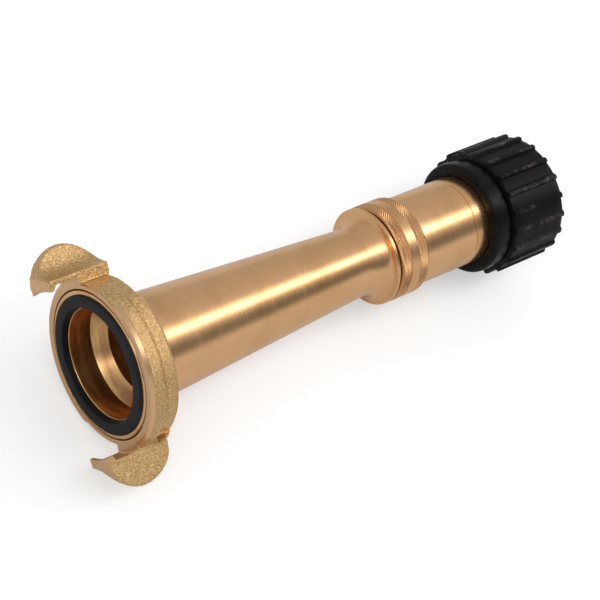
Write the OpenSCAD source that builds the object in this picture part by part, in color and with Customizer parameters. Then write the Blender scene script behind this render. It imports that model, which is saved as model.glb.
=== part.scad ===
// Brass hose spray nozzle: a swivelling claw coupling, a tapered barrel, and a twist head that
// screws forward off a fixed plug to open the jet, sealed by a packed gland under a knurled nut.
// The water's axis lies along X. X = 0 is the sealing face of the coupling, +X is the jet, +Z is up.

/* [Coupling] */
// Outer radius of the moulded coupling seal
seal_r = 17; // [16.8:0.1:17.1]
// Radius of the water inlet
inlet_r = 13.4; // [13.1:0.1:13.6]
// Outer radius of the ring in the gaps where the other coupling's claws enter
gap_r = 19.6; // [19.3:0.1:20]
// Outer radius of the ramp flanges
ramp_r = 21; // [20.6:0.1:21.4]
// Depth of the claw ring along the axis
ring_depth = 7.7; // [7.4:0.1:8.2]

/* [Claws] */
// Radius of the circle that the claw barbs touch
lug_r = 20; // [19.8:0.1:20.3]
// How far the claws stand out from the ring's face
claw_reach = 7.6; // [7.2:0.1:8.4]
// Direction of the first claw's driven side, in degrees from +Y towards +Z
claw_angle = 43; // [0:1:179]
// Width of a claw across its root
claw_w = 8.8; // [8.4:0.1:9.2]
// Radius of the claw's round lobe
lobe_r = 8.3; // [8:0.1:8.6]

/* [Barrel] */
// Distance from the sealing face to the front of the barrel's collar
barrel_len = 82.2; // [78:0.2:92]
// Outer radius of the taper at the coupling end
taper_r = 13; // [12.8:0.1:13.3]
// Outer radius of the taper at its thin end
waist_r = 8.8; // [8.5:0.1:9.4]
// Outer radius of the collar
collar_r = 12.5; // [12.2:0.1:12.8]

/* [Gland] */
// Outer radius over the knurling of the gland nut
nut_r = 12.65; // [12.4:0.05:12.9]
// Length of the gland nut
nut_len = 8.7; // [8.5:0.1:9.2]
// Radius of the polished spigot inside the packing
spigot_r = 7.9; // [7.7:0.1:8]

/* [Twist head] */
// Outer radius of the sleeve
sleeve_r = 11.55; // [11.45:0.05:11.8]
// How far the head moves forward from shut to fully open
head_travel = 6; // [5:0.25:6]
// Radius of the jet orifice
throat_r = 4; // [3.6:0.1:4.2]
// Outer radius of the rubber head between its ribs
head_r = 15.8; // [15.5:0.1:16.2]
// Height of the grip ribs
rib_h = 0.8; // [0.5:0.1:1.2]
// Number of grip ribs
rib_count = 20; // [16:1:24]

/* [Hidden] */
$fn = 96;

brass = "goldenrod";
cast_brass = "darkgoldenrod";
steel = "silver";
black_rubber = [0.12, 0.12, 0.13];

play = 0.05;          // radial clearance of a running fit
seat_gap = 0.02;      // clearance between pieces that stay together
face_gap = 0.05;      // clearance between faces that rub

// Coupling, along the axis
ring_x0 = 0.6;
ring_x1 = ring_x0 + ring_depth;
seat_x = 1.6;                          // brass lip inside the seal
seal_x1 = 3.6;                         // bottom of the seal's groove
seal_bore_r = inlet_r + 0.5;
seal_key_r = inlet_r + 1.8;            // inside of the seal's deep keyed part
flange_r = seal_r + 0.95;
flange_x1 = 5;
washer_t = 0.75;
web_x0 = flange_x1 + washer_t + face_gap;
ring_bore_r = flange_r + 0.3;
neck_r = inlet_r + 1.2;
neck_end_x = ring_x1 + 1.7;
clip_t = 0.9;
clip_x0 = ring_x1 + 0.2;
clip_groove_r = neck_r - 0.9;

// Barrel
bore_step_x = 7.6;                     // where the inlet starts to narrow
bore_r1 = inlet_r - 2.9;
bore_r2 = 5.5;
flare_len = 5.2;
flare_x0 = barrel_len - flare_len - 1;
rim_w = 0.25;
thread_depth = 0.4;
thread_pitch = 1;

// Gland, from the collar forward
nut_x0 = barrel_len + 0.7;
nut_x1 = nut_x0 + nut_len;
nut_wall = 1.8;
follower_x0 = nut_x0 + nut_wall + face_gap;
follower_flange_t = 1.4;
neck_x0 = follower_x0 + follower_flange_t + 0.25;
sleeve_neck_r = 10.9;
box_r = 9.9;                           // bore of the stuffing box
packing_x0 = follower_x0 + 3.3;
packing_x1 = packing_x0 + 2.85;
packing_washer_x1 = packing_x1 + face_gap + 0.8;
sleeve_x0 = nut_x1 + 0.45;

// Twist head, with the jet shut
thread_r = 9;
land_x0 = packing_washer_x1 + 6.8;     // internal thread of the sleeve
land_x1 = land_x0 + 6;
thread_x0 = land_x0 - 0.7;             // external thread of the spigot
thread_x1 = land_x1 + head_travel - 0.6;
stop_x0 = land_x1 + head_travel + face_gap;
stop_t = 0.9;
spigot_x1 = stop_x0 + stop_t + 0.9;
chamber_r = thread_r + 0.7;
sleeve_x1 = land_x1 + 27.8;
head_x0 = sleeve_x0 + 21.6;
head_x1 = sleeve_x1 + 3.6;

// Plug and mouth
cone_x0 = sleeve_x1 - 10.4;            // wide end of the mouth's seat
cone_r0 = 8.6;
cone_slope = 0.7;
cone_x1 = cone_x0 + (cone_r0 - throat_r) / cone_slope;
plug_gap = 0.1;
spider_x0 = stop_x0 - 4.2;
spider_t = 3;
spider_r = 6.6;
stem_r = 1.75;
hub_r = 3.2;
nut_h = 2.4;
tip_ring_r = 0.75;                     // half the thickness of the plug's O-ring
mouth_ring_r = 0.85;                   // half the thickness of the mouth's O-ring
outlet_r = 6.5;

// Claw ring sectors, in degrees from the first claw's driven side
ramp_from = 38;
ramp_to = 159;
pad_to = 97;
lug_from = 142;

// Rubber head
flange_len = 4.8;
notch_len = 0.4;
head_flange_r = 14.7;

// Radius of the mouth's conical seat at x
function seat_r(x) = cone_r0 - (x - cone_x0) * cone_slope;

// Points of a quarter curve that flares from [r0, x0] to [r1, x1], tangent to the axis at its start
function flare(r0, x0, r1, x1, step = 7.5) =
    [for (u = [0 : step : 90]) [r0 + (r1 - r0) * (1 - cos(u)), x0 + (x1 - x0) * sin(u)]];

// Points of ring grooves that stand for a thread of crest radius r between x0 and x1
function thread(r, x0, x1) =
    [for (x = [x0 : thread_pitch : x1 - thread_pitch], k = [0, 0.35, 0.5, 0.65])
        [r - (k == 0.5 ? thread_depth : 0), x + k * thread_pitch]];

// Turned solid: the profile is a list of [radius, x]
module turned(profile) {
    rotate([0, 90, 0]) rotate_extrude() polygon(profile);
}

// Turned sector from angle t0 to t1, in degrees from +Y towards +Z
module sector(profile, t0, t1) {
    rotate([0, 90, 0]) rotate([0, 0, 90 + t0]) rotate_extrude(angle = t1 - t0) polygon(profile);
}

// Ring with a rectangular section
module ring(r_in, r_out, x0, x1) {
    turned([[r_in, x0], [r_out, x0], [r_out, x1], [r_in, x1]]);
}

// Open spring clip with its gap at angle t
module clip(r_in, r_out, x0, x1, gap, t) {
    difference() {
        ring(r_in, r_out, x0, x1);
        rotate([t, 0, 0])
            translate([x0 - 1, 0, -gap / 2]) cube([x1 - x0 + 2, r_out + 1, gap]);
    }
}

// O-ring of section radius a on a circle of radius r
module o_ring(r, a, x) {
    rotate([0, 90, 0]) translate([0, 0, x]) rotate_extrude() translate([r, 0]) circle(a, $fn = 32);
}

module barrel() {
    outside = concat(
        [[seal_r, ring_x0], [flange_r - 0.2, ring_x0], [flange_r, ring_x0 + 0.2],
            [flange_r, flange_x1], [neck_r, flange_x1],
            [neck_r, clip_x0], [clip_groove_r, clip_x0],
            [clip_groove_r, clip_x0 + clip_t], [neck_r, clip_x0 + clip_t],
            [neck_r, neck_end_x - 0.2], [neck_r - 0.2, neck_end_x],
            [taper_r + 0.2, neck_end_x + 0.5], [taper_r, neck_end_x + 1]],
        flare(waist_r, flare_x0, collar_r - rim_w, barrel_len - 1),
        [[collar_r, barrel_len - 0.8], [collar_r, barrel_len - 0.2], [collar_r - 0.2, barrel_len],
            [spigot_r, barrel_len], [spigot_r, thread_x0]],
        thread(thread_r, thread_x0 + 0.6, thread_x1),
        [[thread_r, thread_x1], [thread_r, stop_x0], [thread_r - 0.6, stop_x0],
            [thread_r - 0.6, stop_x0 + stop_t], [thread_r, stop_x0 + stop_t],
            [thread_r, spigot_x1 - 0.4], [thread_r - 0.4, spigot_x1]]);
    inside = [[spider_r + seat_gap, spigot_x1],
        [spider_r + seat_gap, spider_x0 + spider_t + 1.1],
        [spider_r + 0.5, spider_x0 + spider_t + 1.1],
        [spider_r + 0.5, spider_x0 + spider_t + 0.2],
        [spider_r + seat_gap, spider_x0 + spider_t + 0.2],
        [spider_r + seat_gap, spider_x0 - seat_gap], [bore_r2, spider_x0 - seat_gap],
        [bore_r2, barrel_len - 3], [bore_r1, bore_step_x + 3], [inlet_r, bore_step_x],
        [inlet_r, seat_x], [seal_key_r, seat_x], [seal_key_r, seal_x1], [seal_r, seal_x1]];
    color(brass) turned(concat(outside, inside));
}

module inlet_seal() {
    color(black_rubber) turned([
        [seal_bore_r, 0.2], [seal_bore_r + 0.2, 0], [seal_r - 0.5, 0], [seal_r - seat_gap, 0.5],
        [seal_r - seat_gap, seal_x1 - seat_gap], [seal_key_r + seat_gap, seal_x1 - seat_gap],
        [seal_key_r + seat_gap, seat_x - seat_gap], [seal_bore_r, seat_x - seat_gap]]);
}

module swivel_washer() {
    color("ivory") ring(neck_r + seat_gap, flange_r - 0.3, flange_x1 + 0.01, flange_x1 + washer_t);
}

module swivel_clip() {
    color(steel) clip(clip_groove_r + seat_gap, neck_r + 1, clip_x0 + seat_gap,
        clip_x0 + clip_t - seat_gap, 3, 150);
}

// One claw: a prong with a barb that points in at its end and a thin round lobe for the fingers
module claw() {
    root_z = 16;
    shelf_z = 22.5;
    lobe_x = ring_x1 - 7.2;
    lobe_z = lug_r - 0.4;
    prong_r = ramp_r + 0.25;
    barb_x1 = ring_x0 - 5.8;
    top_z = lobe_z + lobe_r + 1;
    back_w = claw_w - 1.2;
    back_steps = 9;                    // facets of the lobe's hollow back
    section = concat([[0, root_z], [claw_w, root_z], [claw_w, top_z]],
        [for (k = [back_steps : -1 : 0]) let (u = k / back_steps)
            [u * back_w, shelf_z + (top_z - shelf_z) * pow(u, 3)]]);
    difference() {
        rotate([claw_angle - 90, 0, 0]) intersection() {
            translate([ring_x0 - claw_reach - 1, 0, 0])
                rotate([90, 0, 90]) linear_extrude(claw_reach + ring_depth + 3) polygon(section);
            translate([0, claw_w + 1, 0]) rotate([90, 0, 0]) linear_extrude(claw_w + 2) {
                intersection() {
                    translate([lobe_x, lobe_z]) circle(lobe_r);
                    translate([lobe_x - lobe_r, lobe_z]) square([2 * lobe_r - 0.5, lobe_r]);
                }
                translate([ring_x0 - claw_reach, root_z])
                    square([ring_depth + claw_reach + 0.4, shelf_z - root_z]);
            }
        }
        turned([[0, -20], [lug_r, -20], [lug_r, barb_x1 - 0.8], [prong_r, barb_x1],
            [prong_r, ring_x0], [gap_r - 0.6, ring_x0], [gap_r - 0.6, 20], [0, 20]]);
    }
}

// Ramp flange, pad and stop lug that the other coupling's claw slides along
module ramp() {
    t0 = claw_angle + ramp_from;
    groove = 0.3;
    front_x1 = ring_x0 + 3.6;
    root_r = gap_r - 0.6;
    sector([[root_r, ring_x0], [ramp_r - 1, ring_x0], [ramp_r, ring_x0 + 1],
        [ramp_r, front_x1], [root_r, front_x1]], t0, claw_angle + ramp_to);
    sector([[root_r, front_x1 - 1], [ramp_r - groove, front_x1 - 1],
        [ramp_r - groove, ring_x1 - 0.6], [ramp_r - groove - 0.6, ring_x1 - 0.05],
        [root_r, ring_x1 - 0.05]], t0, claw_angle + lug_from + 3);
    sector([[root_r, front_x1 + groove], [ramp_r, front_x1 + groove], [ramp_r, ring_x1 - 1.1],
        [ramp_r - 0.5, ring_x1 - 0.4], [root_r, ring_x1 - 0.4]], t0, claw_angle + pad_to);
    sector([[root_r, ring_x1 - 2.2], [ramp_r + 0.7, ring_x1 - 2.2], [ramp_r + 0.7, ring_x1 - 1.2],
        [ramp_r, ring_x1 - 1.2], [ramp_r, ring_x1 - 0.5], [root_r, ring_x1 - 0.5]],
        claw_angle + lug_from, claw_angle + ramp_to);
}

module claw_ring() {
    color(cast_brass) union() {
        turned([[ring_bore_r, ring_x0], [gap_r - 0.3, ring_x0], [gap_r, ring_x0 + 0.3],
            [gap_r, ring_x1 - 0.4], [gap_r - 0.4, ring_x1], [neck_r + play, ring_x1],
            [neck_r + play, web_x0], [ring_bore_r, web_x0]]);
        for (turn = [0, 180]) rotate([turn, 0, 0]) {
            claw();
            ramp();
        }
    }
}

module gland_nut() {
    band = 2.4;
    waist = nut_r - 0.2;
    color(brass) turned([
        [spigot_r + 0.3, nut_x0], [nut_r - 0.7, nut_x0], [nut_r, nut_x0 + 0.5],
        [nut_r, nut_x0 + 0.5 + band], [waist, nut_x0 + 0.6 + band],
        [waist, nut_x1 - 0.4 - band], [nut_r, nut_x1 - 0.3 - band],
        [nut_r, nut_x1 - 0.3], [nut_r - 0.3, nut_x1],
        [sleeve_neck_r + play, nut_x1], [sleeve_neck_r + play, nut_x0 + nut_wall],
        [spigot_r + 0.3, nut_x0 + nut_wall]]);
}

module gland_follower() {
    flange_x = follower_x0 + follower_flange_t;
    color(brass) turned([
        [spigot_r + play, follower_x0], [sleeve_neck_r - 0.3, follower_x0],
        [sleeve_neck_r - 0.3, flange_x], [box_r - play, flange_x],
        [box_r - play, packing_x0 - face_gap], [spigot_r + play, packing_x0 - face_gap]]);
}

module packing_ring() {
    color("khaki") ring(spigot_r + play, box_r - play, packing_x0, packing_x1);
}

module packing_washer() {
    color(brass) ring(spigot_r + 0.2, box_r - seat_gap, packing_x1 + face_gap, packing_washer_x1);
}

module sleeve() {
    scribe_x = sleeve_x0 + 17.3;
    color(brass) turned(concat(
        [[box_r, neck_x0]],
        thread(sleeve_neck_r, neck_x0 + 0.2, nut_x1 - 0.3),
        [[sleeve_neck_r, sleeve_x0], [sleeve_r - 0.3, sleeve_x0], [sleeve_r, sleeve_x0 + 0.3],
            [sleeve_r, scribe_x], [sleeve_r - 0.15, scribe_x + 0.15], [sleeve_r, scribe_x + 0.3],
            [sleeve_r, sleeve_x1 - 0.5], [sleeve_r - 0.5, sleeve_x1],
            [chamber_r, sleeve_x1], [chamber_r, land_x1], [thread_r + play, land_x1],
            [thread_r + play, land_x0], [thread_r + 0.25, land_x0 - 0.2],
            [thread_r + 0.25, packing_washer_x1 + seat_gap],
            [box_r, packing_washer_x1 + seat_gap]]));
}

module stop_ring() {
    color(steel) clip(thread_r - 0.6 + seat_gap, chamber_r - 0.2, stop_x0 + seat_gap,
        stop_x0 + stop_t - seat_gap, 2.5, 40);
}

module spider() {
    spoke_w = 1.6;
    color(brass) difference() {
        union() {
            ring(bore_r2, spider_r, spider_x0, spider_x0 + spider_t);
            ring(0, hub_r, spider_x0, spider_x0 + spider_t);
            for (t = [0 : 90 : 270]) rotate([t, 0, 0])
                translate([spider_x0, 0, -spoke_w / 2]) cube([spider_t, spider_r - 0.5, spoke_w]);
        }
        ring(0, stem_r + seat_gap, spider_x0 - 1, spider_x0 + spider_t + 1);
    }
}

module spider_clip() {
    x0 = spider_x0 + spider_t + 0.2;
    color(steel) clip(bore_r2 + 0.1, spider_r + 0.48, x0 + seat_gap, x0 + 0.9 - seat_gap, 3, 220);
}

// Stem and plug in one piece; the plug's cone fills the mouth's seat when the head is shut
module spindle() {
    stem_x0 = spider_x0 - 3.9;
    shoulder_x = spider_x0 + spider_t + seat_gap;
    plug_x0 = cone_x0 + 2;
    plug_x1 = cone_x0 + 8.6;
    groove_x0 = cone_x0 + 2.7;
    groove_x1 = groove_x0 + 2 * tip_ring_r + 0.1;
    groove_r = tip_ring_axis_r() - tip_ring_r;
    color(brass) turned([
        [0, stem_x0], [stem_r - 0.3, stem_x0], [stem_r, stem_x0 + 0.3], [stem_r, shoulder_x],
        [stem_r + 0.9, shoulder_x], [stem_r + 0.9, plug_x0 - 2],
        [seat_r(plug_x0) - plug_gap, plug_x0], [seat_r(groove_x0) - plug_gap, groove_x0],
        [groove_r, groove_x0], [groove_r, groove_x1], [seat_r(groove_x1) - plug_gap, groove_x1],
        [seat_r(plug_x1) - plug_gap, plug_x1], [0, plug_x1 + 1]]);
}

// Radius of the tip seal's centre circle, set so that it just clears the seat
function tip_ring_axis_r() =
    seat_r(tip_ring_x()) - (tip_ring_r + 0.03) * sqrt(1 + cone_slope * cone_slope);
function tip_ring_x() = cone_x0 + 2.75 + tip_ring_r;

module tip_seal() {
    color(black_rubber) o_ring(tip_ring_axis_r(), tip_ring_r, tip_ring_x());
}

module spindle_washer() {
    color(steel) ring(stem_r + seat_gap, hub_r, spider_x0 - 0.72, spider_x0 - 0.02);
}

module spindle_nut() {
    x1 = spider_x0 - 0.74;
    color(brass) difference() {
        rotate([0, 90, 0]) translate([0, 0, x1 - nut_h]) cylinder(h = nut_h, r = hub_r, $fn = 6);
        ring(0, stem_r + seat_gap, x1 - nut_h - 1, x1 + 1);
    }
}

// Screwed jet orifice: its flange traps the rubber head's lip against the sleeve
module mouth_insert() {
    flange_x0 = sleeve_x1 + 1.5;
    flange_x2 = flange_x0 + 1.5;
    groove_x = sleeve_x1 - 4.5;
    color(brass) turned([
        [seat_r(cone_x0), cone_x0], [chamber_r - 0.4, cone_x0], [chamber_r - seat_gap, cone_x0 + 0.4],
        [chamber_r - seat_gap, groove_x - 0.95], [chamber_r - 2 * mouth_ring_r, groove_x - 0.95],
        [chamber_r - 2 * mouth_ring_r, groove_x + 0.95], [chamber_r - seat_gap, groove_x + 0.95],
        [chamber_r - seat_gap, flange_x0], [sleeve_r + 0.25, flange_x0],
        [sleeve_r + 0.25, flange_x2 - 0.4], [sleeve_r - 0.15, flange_x2],
        [outlet_r + 0.3, flange_x2], [outlet_r, flange_x2 - 0.3], [outlet_r, flange_x2 - 3.4],
        [throat_r, cone_x1 + 1.2], [throat_r, cone_x1]]);
}

module mouth_o_ring() {
    color(black_rubber)
        o_ring(chamber_r - mouth_ring_r - 0.01, mouth_ring_r - 0.01, sleeve_x1 - 4.5);
}

// Cross-section of the grip: flats between narrow ribs that lean one way
module grip_outline() {
    pitch = 360 / rib_count;
    first_rib = 6;
    points = [for (i = [0 : rib_count - 1], p = [[0, 0], [0.06, rib_h], [0.24, rib_h], [0.34, 0.15]])
        let (a = (i + p[0]) * pitch + first_rib, r = head_r + p[1]) [r * cos(a), r * sin(a)]];
    polygon(points);
}

module rubber_head() {
    grip_x0 = head_x0 + flange_len + notch_len;
    lip_r = chamber_r + 0.1;
    bore_r = sleeve_r + seat_gap;
    color(black_rubber) difference() {
        union() {
            turned([[0, head_x0], [head_flange_r - 0.8, head_x0], [head_flange_r - 0.2, head_x0 + 0.3],
                [head_flange_r, head_x0 + 0.9], [head_flange_r, head_x0 + flange_len - 0.5],
                [head_flange_r - 0.5, head_x0 + flange_len], [head_flange_r - 1, head_x0 + flange_len],
                [head_flange_r - 1, grip_x0 + 1], [0, grip_x0 + 1]]);
            rotate([0, 90, 0]) translate([0, 0, grip_x0])
                linear_extrude(head_x1 - grip_x0) grip_outline();
        }
        turned([[0, head_x0 - 1], [bore_r + 0.1, head_x0 - 1], [bore_r + 0.1, head_x0 + 2],
            [bore_r, head_x0 + 2.6], [bore_r, sleeve_x1 + seat_gap], [lip_r, sleeve_x1 + seat_gap],
            [lip_r, sleeve_x1 + 1.5 - seat_gap], [sleeve_r + 0.6, sleeve_x1 + 1.5 - seat_gap],
            [sleeve_r + 0.6, head_x1 + 1], [0, head_x1 + 1]]);
    }
}

barrel();
inlet_seal();
swivel_washer();
swivel_clip();
claw_ring();
gland_nut();
gland_follower();
packing_ring();
packing_washer();
sleeve();
stop_ring();
spider();
spider_clip();
spindle();
spindle_washer();
spindle_nut();
tip_seal();
mouth_insert();
mouth_o_ring();
rubber_head();
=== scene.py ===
import math

import bmesh
import bpy
from mathutils import Matrix, Vector, noise


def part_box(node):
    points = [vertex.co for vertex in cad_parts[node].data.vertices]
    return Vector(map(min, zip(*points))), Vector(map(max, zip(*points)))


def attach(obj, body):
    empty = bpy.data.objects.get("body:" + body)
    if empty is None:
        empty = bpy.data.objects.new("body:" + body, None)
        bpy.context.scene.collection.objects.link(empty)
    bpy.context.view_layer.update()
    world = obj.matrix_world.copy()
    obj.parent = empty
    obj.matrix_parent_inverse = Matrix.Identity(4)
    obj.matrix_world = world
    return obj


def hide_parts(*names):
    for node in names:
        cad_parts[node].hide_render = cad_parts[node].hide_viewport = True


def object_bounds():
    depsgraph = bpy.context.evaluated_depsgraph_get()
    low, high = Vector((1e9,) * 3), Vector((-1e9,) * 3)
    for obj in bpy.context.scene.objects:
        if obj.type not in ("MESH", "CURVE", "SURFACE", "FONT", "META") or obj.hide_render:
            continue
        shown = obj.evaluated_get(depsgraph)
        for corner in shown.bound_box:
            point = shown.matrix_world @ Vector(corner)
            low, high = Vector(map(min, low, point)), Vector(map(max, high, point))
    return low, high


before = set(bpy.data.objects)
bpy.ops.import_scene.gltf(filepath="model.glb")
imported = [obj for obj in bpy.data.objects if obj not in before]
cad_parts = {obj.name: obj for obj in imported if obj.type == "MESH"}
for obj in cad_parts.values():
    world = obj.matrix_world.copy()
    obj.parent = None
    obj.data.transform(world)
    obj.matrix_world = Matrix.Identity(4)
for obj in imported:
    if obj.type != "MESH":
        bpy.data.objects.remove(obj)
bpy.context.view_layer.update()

MM = 0.001
TURN = 2 * math.pi
ROLL = math.radians(30)  # the nozzle lies rolled over onto a claw


# ---------------------------------------------------------------- places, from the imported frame
def span(node):
    """First x, last x and outer radius of a node, in millimetres."""
    lo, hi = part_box(node)
    return lo.x / MM, hi.x / MM, hi.y / MM


SEAL_X0, SEAL_X1, SEAL_R = span("inlet_seal")
NUT_X0, NUT_X1, NUT_R = span("gland_nut")
SLEEVE_X1 = span("sleeve")[1]
HEAD_X0, HEAD_X1, _ = span("rubber_head")
BARREL_X0, BARREL_X1, FLANGE_R = span("barrel")
WASHER_X0 = span("swivel_washer")[0]
CLIP_X0, CLIP_X1, _ = span("swivel_clip")
STOP_X0, STOP_X1, _ = span("stop_ring")
SPIDER_X0 = span("spider")[0]
INSERT_X0, INSERT_X1, INSERT_R = span("mouth_insert")

HEAD_TRAVEL = 6
STOP_GAP = 0.07  # left between the sleeve's thread and the stop ring when the head is fully out
COLLAR_X = NUT_X0 - 0.7
SLEEVE_X0 = NUT_X1 + 0.75
GRIP_X0 = HEAD_X0 + 5.2
LAND_X1 = STOP_X0 - HEAD_TRAVEL - STOP_GAP
LAND_X0 = LAND_X1 - 6
THREAD_X0 = LAND_X0 - 0.7


# ---------------------------------------------------------------- mesh helpers
def add_object(name, verts, faces):
    mesh = bpy.data.meshes.new(name)
    mesh.from_pydata(verts, [], faces)
    bm = bmesh.new()
    bm.from_mesh(mesh)
    bmesh.ops.recalc_face_normals(bm, faces=bm.faces)
    bm.to_mesh(mesh)
    bm.free()
    obj = bpy.data.objects.new(name, mesh)
    bpy.context.collection.objects.link(obj)
    return obj


def shade(obj, angle=32):
    obj.data.polygons.foreach_set("use_smooth", [True] * len(obj.data.polygons))
    obj.data.set_sharp_from_angle(angle=math.radians(angle))


def rounded(corners, steps=4):
    """Closed outline of (x, r, fillet) corners with the fillets drawn as arcs."""
    out = []
    count = len(corners)
    for i, (x, r, fillet) in enumerate(corners):
        here = Vector((x, r))
        before = Vector(corners[i - 1][:2]) - here
        after = Vector(corners[(i + 1) % count][:2]) - here
        if fillet <= 0:
            out.append(here)
            continue
        a, b = before.normalized(), after.normalized()
        half = a.angle(b) / 2
        reach = min(fillet / math.tan(half), before.length * 0.48, after.length * 0.48)
        radius = reach * math.tan(half)
        centre = here + (a + b).normalized() * (radius / math.sin(half))
        start, end = here + a * reach - centre, here + b * reach - centre
        swing = start.angle_signed(end)
        for k in range(steps + 1):
            out.append(centre + Matrix.Rotation(-swing * k / steps, 2) @ start)
    return out


def lathe(name, outline, segments=224, radius=None):
    """Closed outline of (x, r), in millimetres, turned about X; radius(i, x, r, angle) may shape it."""
    verts, faces = [], []
    rows = len(outline)
    for i, (x, r) in enumerate(outline):
        for k in range(segments):
            angle = TURN * k / segments
            rr = radius(i, x, r, angle) if radius else r
            verts.append((x * MM, rr * math.cos(angle) * MM, rr * math.sin(angle) * MM))
    for i in range(rows):
        for k in range(segments):
            j, m = (i + 1) % rows, (k + 1) % segments
            faces.append((i * segments + k, i * segments + m, j * segments + m, j * segments + k))
    obj = add_object(name, verts, faces)
    shade(obj)
    return obj


def points(*pairs):
    return [Vector(pair) for pair in pairs]


def line(start, end, steps):
    """Points from start to end, both included."""
    a, b = Vector(start), Vector(end)
    return [a.lerp(b, k / steps) for k in range(steps + 1)]


def flare(start, end, steps=14):
    """Quarter curve that leaves start along the axis and opens out to end."""
    (x0, r0), (x1, r1) = start, end
    turns = [math.pi / 2 * k / steps for k in range(steps + 1)]
    return [Vector((x0 + (x1 - x0) * math.sin(u), r0 + (r1 - r0) * (1 - math.cos(u)))) for u in turns]


# ---------------------------------------------------------------- node helpers
class Nodes:
    """Short ways to add nodes to a tree."""

    def __init__(self, tree):
        self.tree = tree

    def node(self, kind, inputs=(), **settings):
        made = self.tree.nodes.new(kind)
        for key, value in settings.items():
            setattr(made, key, value)
        for key, value in dict(inputs).items():
            if isinstance(value, bpy.types.NodeSocket):
                self.tree.links.new(value, made.inputs[key])
            else:
                made.inputs[key].default_value = value
        return made

    def math(self, operation, a, b=0.0, clamp=False):
        return self.node("ShaderNodeMath", {0: a, 1: b}, operation=operation, use_clamp=clamp).outputs[0]

    def remap(self, value, low, high, to_low=0.0, to_high=1.0):
        return self.node("ShaderNodeMapRange", {"Value": value, "From Min": low, "From Max": high,
                                                "To Min": to_low, "To Max": to_high}).outputs[0]

    def ramp(self, value, stops):
        made = self.node("ShaderNodeValToRGB", {"Fac": value})
        elements = made.color_ramp.elements
        while len(elements) < len(stops):
            elements.new(0.5)
        for element, (at, colour) in zip(elements, stops):
            element.position = at
            element.color = (*colour, 1.0)
        return made.outputs["Color"]

    def mix(self, fac, a, b):
        made = self.node("ShaderNodeMix", data_type="RGBA")
        for socket, value in ((0, fac), (6, a), (7, b)):
            if isinstance(value, bpy.types.NodeSocket):
                self.tree.links.new(value, made.inputs[socket])
            else:
                made.inputs[socket].default_value = value if socket == 0 else (*value, 1.0)
        return made.outputs[2]


class Shader(Nodes):
    """A principled material and the nodes that feed it."""

    def __init__(self, name, **sockets):
        self.material = bpy.data.materials.new(name)
        self.material.use_nodes = True
        super().__init__(self.material.node_tree)
        self.bsdf = self.tree.nodes["Principled BSDF"]
        for key, value in sockets.items():
            self.bsdf.inputs[key.replace("_", " ")].default_value = value
        coords = self.tree.nodes.new("ShaderNodeTexCoord")
        self.place = coords.outputs["Object"]
        self.normal = coords.outputs["Normal"]

    def scaled(self, x, y, z):
        return self.node("ShaderNodeMapping", {"Vector": self.place, "Scale": (x, y, z)}).outputs[0]

    def noise(self, vector, scale, detail=3.0, rough=0.55):
        settings = {"Vector": vector, "Scale": scale, "Detail": detail, "Roughness": rough}
        return self.node("ShaderNodeTexNoise", settings).outputs["Fac"]

    def feed(self, key, socket):
        self.tree.links.new(socket, self.bsdf.inputs[key])

    def bump(self, height, strength, distance, after=None):
        inputs = {"Height": height, "Strength": strength, "Distance": distance}
        if after:
            inputs["Normal"] = after
        return self.node("ShaderNodeBump", inputs).outputs[0]

    def axis_parts(self):
        """The object-space place as x and distance from the X axis, in metres."""
        parts = self.node("ShaderNodeSeparateXYZ", {0: self.place})
        x, y, z = parts.outputs
        squares = self.math("ADD", self.math("MULTIPLY", y, y), self.math("MULTIPLY", z, z))
        return x, self.math("SQRT", squares)

    def facing_out(self):
        """Cosine between the surface and the direction away from the X axis: below 0 inside a bore."""
        away = self.node("ShaderNodeVectorMath", {0: self.place, 1: (0, 1, 1)}, operation="MULTIPLY")
        away = self.node("ShaderNodeVectorMath", {0: away.outputs[0]}, operation="NORMALIZE")
        return self.node("ShaderNodeVectorMath", {0: away.outputs[0], 1: self.normal},
                         operation="DOT_PRODUCT").outputs["Value"]


BRASS = (0.82, 0.487, 0.24)
# Painted shade for the knurl's valleys and the groove between nut and sleeve.
PAINTED_SHADE = (0.34, 0.15, 0.06)
# Oxide browns for the walls facing the axis. They are dark enough to paint the shade inside the bores.
PATINA_AND_SHADE = (0.76, 0.49, 0.20)
DARK_PATINA_AND_SHADE = (0.36, 0.16, 0.08)


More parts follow.
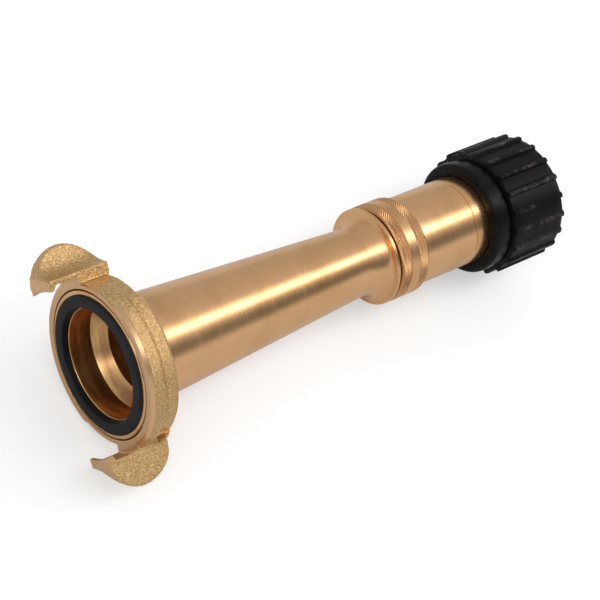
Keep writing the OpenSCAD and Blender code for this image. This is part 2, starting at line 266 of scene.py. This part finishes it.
def turned_brass(name, roughness=0.24, tint=1.0, patina_and_shade=0.0, groove_r=0.0, groove_x=0.0):
    """Lathe-turned brass: fine rings round the axis, faint blotches and a satin sheen.

    The patina amount browns the walls that face the axis: oxide colour and painted shade in the bores.
    The knurl's valleys, below groove_r, and what lies before groove_x get painted shade.
    """
    fade = 0.0001
    s = Shader(name, Metallic=1.0)
    rings = s.noise(s.scaled(5200, 60, 60), 1.0, 4.0, 0.7)
    wide = s.noise(s.scaled(420, 14, 14), 1.0, 2.0)
    blotch = s.noise(s.place, 90.0, 4.0)
    base = [c * tint for c in BRASS]
    dark = (base[0] * 0.9, base[1] * 0.86, base[2] * 0.8)
    pale = (base[0] * 1.06, base[1] * 1.06, base[2] * 1.1)
    colour = s.ramp(blotch, [(0.3, dark), (0.5, base), (0.72, pale)])
    wear = s.math("ADD", s.remap(rings, 0.3, 0.7, -0.04, 0.04), s.remap(wide, 0.3, 0.7, -0.03, 0.03))
    # Oxide colour plus painted shade: the walls that face the axis, inside the bores, are browned and
    # darkened.
    if patina_and_shade:
        streaks = s.noise(s.scaled(420, 75, 75), 1.0, 3.0)
        oxide_and_shade_colour = s.ramp(streaks, [(0.38, DARK_PATINA_AND_SHADE), (0.6, PATINA_AND_SHADE)])
        oxide_and_shade_mask = s.math("MULTIPLY", s.remap(s.facing_out(), -0.3, -0.7), patina_and_shade)
        colour = s.mix(oxide_and_shade_mask, colour, oxide_and_shade_colour)
        wear = s.math("ADD", wear, s.math("MULTIPLY", oxide_and_shade_mask, 0.11))
    # Painted shade in the knurl's valleys, below groove_r.
    if groove_r:
        low = s.remap(s.axis_parts()[1], groove_r, groove_r - fade)
        colour = s.mix(s.math("MULTIPLY", low, 0.4), colour, PAINTED_SHADE)
    # Painted shade on the sleeve's end in the groove at the nut, before groove_x.
    if groove_x:
        near = s.remap(s.axis_parts()[0], groove_x, groove_x - fade)
        colour = s.mix(s.math("MULTIPLY", near, 0.85), colour, PAINTED_SHADE)
    s.feed("Base Color", colour)
    s.feed("Roughness", s.math("ADD", wear, roughness))
    s.feed("Normal", s.bump(rings, 0.1, 0.00004, s.bump(wide, 0.03, 0.0001)))
    return s.material


def cast_brass():
    """Sand-cast brass with a sparkling grain; the ring's face and the claws' ends are machined smooth."""
    s = Shader("cast_brass", Metallic=1.0)
    grain = s.noise(s.place, 2900.0, 3.0, 0.75)
    pits = s.node("ShaderNodeTexVoronoi", {"Vector": s.place, "Scale": 1900.0}).outputs["Distance"]
    blotch = s.noise(s.place, 170.0, 3.0)
    x, radius = s.axis_parts()
    face = s.node("ShaderNodeSeparateXYZ", {0: s.normal}).outputs[0]
    rim = s.math("MULTIPLY", s.remap(x, 0.0022, 0.0018), s.remap(radius, 0.0216, 0.0213))
    rim = s.math("MULTIPLY", rim, s.remap(face, -0.45, -0.6))
    ends = s.math("MULTIPLY", s.remap(x, -0.0066, -0.0068), s.remap(face, -0.8, -0.9))
    smooth = s.math("MAXIMUM", rim, ends)
    skin = s.ramp(grain, [(0.36, (0.46, 0.26, 0.10)), (0.5, (0.72, 0.455, 0.20)),
                          (0.62, (0.98, 0.72, 0.39))])
    skin = s.mix(s.remap(blotch, 0.42, 0.7, 0.0, 0.3), skin, (0.55, 0.31, 0.13))
    s.feed("Base Color", s.mix(smooth, skin, (0.80, 0.50, 0.27)))
    s.feed("Roughness", s.remap(smooth, 0.0, 1.0, 0.36, 0.28))
    height = s.math("ADD", grain, s.remap(pits, 0.0, 0.5, 0.0, 0.5))
    height = s.math("MULTIPLY", height, s.remap(smooth, 0.0, 1.0, 1.0, 0.03))
    s.feed("Normal", s.bump(height, 1.0, 0.00016))
    return s.material


def seal_rubber():
    s = Shader("seal_rubber", Roughness=0.55)
    s.bsdf.inputs["Specular IOR Level"].default_value = 0.22
    fine = s.noise(s.place, 1800.0, 3.0)
    cloud = s.noise(s.place, 200.0)
    s.feed("Base Color", s.ramp(cloud, [(0.3, (0.006, 0.006, 0.008)), (0.7, (0.012, 0.012, 0.015))]))
    s.feed("Roughness", s.remap(fine, 0.3, 0.7, 0.46, 0.62))
    s.feed("Normal", s.bump(fine, 0.15, 0.00005))
    return s.material


def head_rubber():
    """Moulded rubber: half gloss on the smooth flange, with pale worn specks on the ribs' tops."""
    s = Shader("head_rubber")
    s.bsdf.inputs["Specular IOR Level"].default_value = 0.14
    x, radius = s.axis_parts()
    grip = s.remap(x, GRIP_X0 * MM, (GRIP_X0 + 0.6) * MM)
    fine = s.noise(s.scaled(500, 1500, 1500), 1.0, 4.0, 0.65)
    dust = s.noise(s.place, 320.0, 4.0, 0.65)
    edge = s.remap(radius, 0.01625, 0.0167)
    worn = s.math("MULTIPLY", s.math("MULTIPLY", edge, grip), s.remap(dust, 0.5, 0.66))
    body = s.ramp(dust, [(0.3, (0.0022, 0.0024, 0.003)), (0.7, (0.007, 0.007, 0.008))])
    s.feed("Base Color", s.mix(s.math("MULTIPLY", worn, 0.6), body, (0.16, 0.12, 0.09)))
    gloss = s.remap(grip, 0.0, 1.0, 0.28, 0.4)
    s.feed("Roughness", s.math("ADD", gloss, s.remap(fine, 0.3, 0.7, -0.05, 0.07)))
    s.feed("Normal", s.bump(fine, 0.25, 0.00006))
    return s.material


def spring_steel():
    s = Shader("spring_steel", Metallic=1.0)
    rings = s.noise(s.scaled(3000, 200, 200), 1.0)
    s.feed("Base Color", s.ramp(rings, [(0.3, (0.42, 0.41, 0.40)), (0.7, (0.60, 0.59, 0.58))]))
    s.feed("Roughness", s.remap(rings, 0.3, 0.7, 0.25, 0.4))
    s.feed("Normal", s.bump(rings, 0.1, 0.00004))
    return s.material


def dull_piece(name, dark, pale, roughness, scale):
    """Plastic washer or plaited packing: two close colours and a bump of one scale."""
    s = Shader(name, Roughness=roughness)
    weave = s.noise(s.place, scale, 3.0)
    s.feed("Base Color", s.ramp(weave, [(0.35, dark), (0.65, pale)]))
    s.feed("Normal", s.bump(weave, 0.3, 0.0001))
    return s.material


# ---------------------------------------------------------------- pieces
def make_barrel():
    """Barrel with seal seat, neck, long taper, trumpet flare and hidden spigot."""
    seat, groove_x, neck = 1.6, 3.6, 14.6
    taper, waist, collar, spigot, thread = 13.0, 8.8, 12.5, 7.9, 9.0
    inlet, seal_key, spider, bore = 13.4, 15.2, 6.65, 5.5
    neck_end = CLIP_X1 + 0.6
    flare_x = COLLAR_X - 6.2
    outside = rounded([
        (BARREL_X0, SEAL_R, 0), (BARREL_X0, FLANGE_R, 0.2), (WASHER_X0, FLANGE_R, 0.1),
        (WASHER_X0, neck, 0), (CLIP_X0, neck, 0), (CLIP_X0, neck - 0.9, 0), (CLIP_X1, neck - 0.9, 0),
        (CLIP_X1, neck, 0), (neck_end, neck, 0.2), (neck_end + 0.5, taper + 0.2, 0.3)], 3)
    outside = outside[:-4] + line((neck_end + 1, taper), (flare_x, waist), 40)
    outside += flare((flare_x, waist), (COLLAR_X - 1, collar - 0.25))[1:]
    outside += points(
        (COLLAR_X - 0.85, collar), (COLLAR_X - 0.15, collar), (COLLAR_X, collar - 0.15),
        (COLLAR_X, spigot), (THREAD_X0, spigot), (THREAD_X0 + 0.2, thread - 0.4))
    outside += line((THREAD_X0 + 0.6, thread), (STOP_X0, thread), 2)
    inside = points(
        (STOP_X0, thread - 0.6), (STOP_X1, thread - 0.6), (STOP_X1, thread), (BARREL_X1, thread),
        (BARREL_X1, spider), (SPIDER_X0, spider), (SPIDER_X0, bore), (COLLAR_X - 3, bore))
    inside += line((10.6, 10.5), (7.6, inlet), 3)
    inside += points((6.2, inlet), (seat + 0.15, inlet), (seat, inlet + 0.15), (seat, seal_key),
                     (groove_x, seal_key), (groove_x, SEAL_R))
    piece = lathe("barrel_turned", outside + inside)
    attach(piece, "barrel")
    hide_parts("barrel")
    return piece


def make_seal():
    """Seal ring: a lip over the brass seat and a deeper key outside it."""
    bore, key, seat = 13.9, 15.22, 1.58
    piece = lathe("seal_moulded", rounded([
        (SEAL_X0, bore, 0.25), (SEAL_X0, SEAL_R, 0.45), (SEAL_X1, SEAL_R, 0.1),
        (SEAL_X1, key, 0.1), (seat, key, 0.05), (seat, bore, 0.1)]), 160)
    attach(piece, "barrel")
    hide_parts("inlet_seal")
    return piece


CLAW_AT, GROOVE_FROM, GROOVE_TO = 43, 38, 142  # degrees: a claw, and the ramp's groove after it
GROOVE_X, GROOVE_HALF, GROOVE_DEEP = 4.5, 0.28, 0.35
PAD_TO, PAD_STEP = 97, 0.3
SKIN_FROM, RAMPS_FROM, LOBES_FROM = 18.8, 20.3, 22.4  # radii past the bore, the gaps and the ramps


def casting_groove(place):
    """Depth in metres of the groove along each ramp of the ring, and of the step past its pad."""
    off = abs(place.x / MM - GROOVE_X) / GROOVE_HALF
    radial = math.hypot(place.y, place.z) / MM
    turned = (math.degrees(math.atan2(place.z, place.y)) - CLAW_AT) % 180
    if radial < RAMPS_FROM or not GROOVE_FROM < turned < GROOVE_TO:
        return 0.0
    past_pad = turned > PAD_TO and place.x / MM > GROOVE_X
    return MM * (GROOVE_DEEP * max(0, 1 - off * off) + (PAD_STEP if past_pad else 0))


def make_claw_ring():
    """The casting: the CAD solid's own form with soft cast edges and a slightly uneven skin."""
    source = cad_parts["claw_ring"]
    piece = bpy.data.objects.new("claw_ring_casting", source.data.copy())
    bpy.context.collection.objects.link(piece)
    weld = piece.modifiers.new("weld", "WELD")
    weld.merge_threshold = 0.000002
    remesh = piece.modifiers.new("remesh", "REMESH")
    remesh.mode = "VOXEL"
    remesh.voxel_size = 0.00016
    smooth = piece.modifiers.new("smooth", "SMOOTH")
    smooth.factor = 0.5
    smooth.iterations = 1
    depsgraph = bpy.context.evaluated_depsgraph_get()
    mesh = bpy.data.meshes.new_from_object(piece.evaluated_get(depsgraph))
    piece.modifiers.clear()
    piece.data = mesh
    bm = bmesh.new()
    bm.from_mesh(mesh)
    lobes = [v for v in bm.verts if math.hypot(v.co.y, v.co.z) > LOBES_FROM * MM]
    for _ in range(12):
        bmesh.ops.smooth_vert(bm, verts=lobes, factor=0.5,
                              use_axis_x=True, use_axis_y=True, use_axis_z=True)
    bm.to_mesh(mesh)
    bm.free()
    normals = [vertex.normal.copy() for vertex in mesh.vertices]
    for vertex, normal in zip(mesh.vertices, normals):
        if normal.x > -0.6 or vertex.co.x > 0.002:
            lump = noise.noise(vertex.co * 260) * 0.00006 + noise.noise(vertex.co * 1100) * 0.00004
            if math.hypot(vertex.co.y, vertex.co.z) > SKIN_FROM * MM:
                vertex.co += normal * (lump - 0.00004 - casting_groove(vertex.co))
    shade(piece, 60)
    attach(piece, "coupling")
    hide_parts("claw_ring")
    return piece


def make_gland_nut():
    """Nut with two bands of diamond knurling and a plain waist between them."""
    band, rows, teeth, depth = 2.4, 24, 108, 0.26
    waist, score = NUT_R - 0.06, NUT_R - 0.3
    wall, bore, neck_bore = 1.8, 8.2, 10.95
    first, second = NUT_X0 + 0.5, NUT_X1 - 0.3 - band
    back = points((NUT_X0, bore), (NUT_X0, NUT_R - 0.6), (NUT_X0 + 0.12, NUT_R - 0.4))
    middle = points((first + band + 0.1, score), (first + band + 0.22, waist),
                    (second - 0.22, waist), (second - 0.1, score))
    front = points((NUT_X1, NUT_R - 0.3), (NUT_X1, neck_bore), (NUT_X0 + wall, neck_bore),
                   (NUT_X0 + wall, bore))
    outline = back + line((first, NUT_R), (first + band, NUT_R), rows)
    outline += middle + line((second, NUT_R), (second + band, NUT_R), rows) + front
    row_1 = len(back)
    row_2 = row_1 + rows + 1 + len(middle)
    knurled = {*range(row_1, row_1 + rows + 1), *range(row_2, row_2 + rows + 1)}

    def radius(i, x, r, angle):
        if i not in knurled:
            return r
        along = (x - NUT_X0) / (NUT_R * TURN / teeth)
        around = angle / TURN * teeth
        a = abs(((around + along) % 1) - 0.5) * 2
        b = abs(((around - along) % 1) - 0.5) * 2
        return r - depth * (1 - min(a, b))

    piece = lathe("gland_nut_knurled", outline, teeth * 8, radius)
    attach(piece, "gland_nut")
    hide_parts("gland_nut")
    return piece


def make_sleeve():
    """Sleeve with a scribed line, the threaded neck under the nut and the thread's land inside."""
    sleeve, neck, box, chamber, land = 11.55, 10.9, 9.9, 9.7, 9.05
    neck_x, box_x = NUT_X0 + 3.5, NUT_X0 + 8.9
    scribe, scribe_r = HEAD_X0 - 4.3, sleeve - 0.25
    outline = rounded([
        (neck_x, box, 0), (neck_x, neck, 0.1), (SLEEVE_X0, neck, 0), (SLEEVE_X0, sleeve, 0.25),
        (scribe - 0.22, sleeve, 0), (scribe - 0.08, scribe_r, 0), (scribe + 0.08, scribe_r, 0),
        (scribe + 0.22, sleeve, 0),
        (SLEEVE_X1, sleeve, 0.4), (SLEEVE_X1, chamber, 0), (LAND_X1, chamber, 0),
        (LAND_X1, land, 0), (LAND_X0, land, 0), (LAND_X0 - 0.3, land + 0.2, 0),
        (box_x, land + 0.2, 0), (box_x, box, 0)])
    piece = lathe("sleeve_turned", outline)
    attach(piece, "head")
    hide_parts("sleeve")
    return piece


def make_rubber_head():
    """Grip: smooth flange, undercut, then flats between narrow ribs that lean one way."""
    flange, body, ribs, rib = 14.7, 15.8, 20, 0.8
    bore, lip, rim = 11.57, 9.8, 12.15
    lip_x = INSERT_X1 - 1.52

    def rib_height(angle):
        u = (-(angle + ROLL) / TURN * ribs - 0.25 * ribs) % 1
        if u < 0.05:
            return rib * u / 0.05
        if u < 0.24:
            return rib
        if u < 0.36:
            return rib - (rib - 0.12) * (u - 0.24) / 0.12
        return 0.12 * (1 - (u - 0.36) / 0.64)

    outside = rounded([
        (HEAD_X0, bore + 0.05, 0.12), (HEAD_X0, flange, 0.9), (HEAD_X0 + 4.8, flange, 0.5),
        (HEAD_X0 + 4.8, flange - 1, 0.1), (GRIP_X0, flange - 1, 0.1)])
    start = len(outside)
    grip = [(GRIP_X0, -0.35), (GRIP_X0 + 0.12, -0.1), (GRIP_X0 + 0.35, 0.0)]
    grip += [(GRIP_X0 + 0.35 + (HEAD_X1 - GRIP_X0 - 0.8) * k / 8, 0.0) for k in range(1, 9)]
    grip += [(HEAD_X1 - 0.15, -0.12), (HEAD_X1, -0.4)]
    insets = {start + k: inset for k, (_, inset) in enumerate(grip)}
    outline = outside + [Vector((x, body)) for x, _ in grip]
    outline += rounded([
        (HEAD_X1, rim, 0.3), (lip_x, rim, 0), (lip_x, lip, 0),
        (SLEEVE_X1 + 0.02, lip, 0), (SLEEVE_X1 + 0.02, bore, 0), (HEAD_X0 + 2.6, bore, 0),
        (HEAD_X0 + 2, bore + 0.05, 0)])

    def radius(i, x, r, angle):
        if i not in insets:
            return r
        return r + insets[i] + rib_height(angle) * (1 if insets[i] > -0.3 else 0.9)

    piece = lathe("rubber_head_moulded", outline, ribs * 32, radius)
    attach(piece, "head")
    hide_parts("rubber_head")
    return piece


def make_mouth():
    """Screwed jet orifice: conical seat, O-ring groove, flange and outlet."""
    seat, throat, outlet, chamber, groove = 8.6, 4.0, 6.5, 9.68, 8.0
    cone_x = INSERT_X0 + 6.57
    groove_x0, groove_x1 = SLEEVE_X1 - 5.45, SLEEVE_X1 - 3.55
    outline = rounded([
        (INSERT_X0, seat, 0.05), (INSERT_X0, chamber, 0.3), (groove_x0, chamber, 0),
        (groove_x0, groove, 0), (groove_x1, groove, 0), (groove_x1, chamber, 0),
        (SLEEVE_X1 + 1.5, chamber, 0), (SLEEVE_X1 + 1.5, INSERT_R, 0.05),
        (INSERT_X1, INSERT_R, 0.35), (INSERT_X1, outlet, 0.3), (INSERT_X1 - 3.4, outlet, 0.1),
        (cone_x + 1.2, throat, 0.15), (cone_x, throat, 0.1)])
    piece = lathe("mouth_turned", outline, 160)
    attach(piece, "head")
    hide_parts("mouth_insert")
    return piece


# ---------------------------------------------------------------- finish of every piece
def dress():
    """Make every piece and give it and every CAD node that shows its material."""
    # The patina amounts brown the bores: oxide colour and painted shade.
    brass = turned_brass("turned_brass", patina_and_shade=0.8)
    # groove_x paints shade into the groove between nut and sleeve.
    tube = turned_brass("sleeve_brass", patina_and_shade=0.7, groove_x=(SLEEVE_X0 + 0.06) * MM)
    inner = turned_brass("inner_brass", 0.34, 0.9)
    # groove_r paints shade into the knurl's valleys.
    knurl = turned_brass("knurled_brass", 0.3, groove_r=(NUT_R - 0.09) * MM)
    rubber = seal_rubber()
    steel = spring_steel()
    plastic = dull_piece("washer_plastic", (0.62, 0.60, 0.53), (0.72, 0.70, 0.63), 0.5, 900.0)
    packing = dull_piece("packing_plait", (0.30, 0.26, 0.17), (0.48, 0.43, 0.30), 0.8, 1400.0)
    finish = {
        make_barrel(): brass, make_seal(): rubber, make_claw_ring(): cast_brass(),
        make_gland_nut(): knurl, make_sleeve(): tube, make_rubber_head(): head_rubber(),
        make_mouth(): brass,
    }
    for piece, material in finish.items():
        piece.data.materials.clear()
        piece.data.materials.append(material)
    nodes = {
        "swivel_washer": plastic, "packing_ring": packing, "swivel_clip": steel, "stop_ring": steel,
        "spider_clip": steel, "spindle_washer": steel, "gland_follower": inner,
        "packing_washer": inner, "spider": inner, "spindle": inner, "spindle_nut": inner,
        "tip_seal": rubber, "mouth_o_ring": rubber,
    }
    for name, material in nodes.items():
        for material_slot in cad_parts[name].material_slots:
            material_slot.material = material


# ---------------------------------------------------------------- stage
def make_floor():
    """Pale paper under the nozzle. Seen by the camera it glows enough to look white."""
    gap = 0.0002
    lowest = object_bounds()[0].z
    bpy.ops.mesh.primitive_circle_add(vertices=96, radius=3.0, fill_type="NGON",
                                      location=(0.06, 0, lowest - gap))
    floor = bpy.context.object
    floor.name = "studio_floor"
    s = Shader("floor_paper", Roughness=0.9, Emission_Color=(1, 1, 1, 1))
    tone = s.noise(s.place, 8.0, 2.0)
    s.feed("Base Color", s.ramp(tone, [(0.3, (0.65, 0.65, 0.65)), (0.7, (0.67, 0.67, 0.67))]))
    lit_paper = s.node("ShaderNodeLightPath").outputs["Is Camera Ray"]
    s.feed("Emission Strength", s.math("MULTIPLY", lit_paper, 0.42))
    floor.data.materials.append(s.material)


# Light in the sky by degrees above the near horizon, round over the top to the far one
SKY_TOP = 4.0
SKY = [(0, 0.72), (14, 0.7), (22, 0.24), (38, 0.17), (54, 0.45), (62, 1.2), (68, 4.0), (75, 4.0),
       (79, 1.8), (85, 0.85), (93, 0.6), (106, 0.62), (125, 0.55), (180, 0.5)]


def make_studio():
    """Soft studio sky: a long bright strip overhead, a dim band below it and even light elsewhere."""
    world = bpy.data.worlds.new("studio")
    bpy.context.scene.world = world
    world.use_nodes = True
    world.node_tree.nodes.clear()
    t = Nodes(world.node_tree)
    ray = t.node("ShaderNodeTexCoord").outputs["Generated"]
    _, y, z = t.node("ShaderNodeSeparateXYZ", {0: ray}).outputs
    turned = t.math("ARCTAN2", z, t.math("MULTIPLY", y, -1.0))
    stops = [(degrees / 180, [level / SKY_TOP] * 3) for degrees, level in SKY]
    light = t.ramp(t.remap(turned, 0.0, math.pi), stops)
    sky = t.node("ShaderNodeBackground", {"Color": light, "Strength": SKY_TOP})
    backdrop = t.node("ShaderNodeBackground", {"Color": (0.97, 0.97, 0.97, 1)})
    to_camera = t.node("ShaderNodeLightPath").outputs["Is Camera Ray"]
    both = t.node("ShaderNodeMixShader", {0: to_camera, 1: sky.outputs[0], 2: backdrop.outputs[0]})
    t.node("ShaderNodeOutputWorld", {0: both.outputs[0]})


def make_camera():
    """The view along the nozzle, turned about its axis by the roll in which it lies."""
    azimuth, elevation, distance = math.radians(-40), math.radians(29.5), 0.488
    aim = Vector((0.0595, -0.0009, -0.00395))
    back = Vector((math.sin(azimuth) * math.cos(elevation), -math.cos(azimuth) * math.cos(elevation),
                   math.sin(elevation)))
    upright = Matrix.Translation(aim + back * distance)
    upright = upright @ (-back).to_track_quat("-Z", "Y").to_matrix().to_4x4()
    data = bpy.data.cameras.new("camera")
    data.lens = 120
    data.sensor_width = 36
    data.clip_start = 0.01
    data.clip_end = 20
    camera = bpy.data.objects.new("camera", data)
    bpy.context.collection.objects.link(camera)
    camera.matrix_world = Matrix.Rotation(-ROLL, 4, "X") @ upright
    bpy.context.scene.camera = camera


make_camera()
dress()
make_floor()
make_studio()
bpy.context.scene.view_settings.view_transform = "Standard"
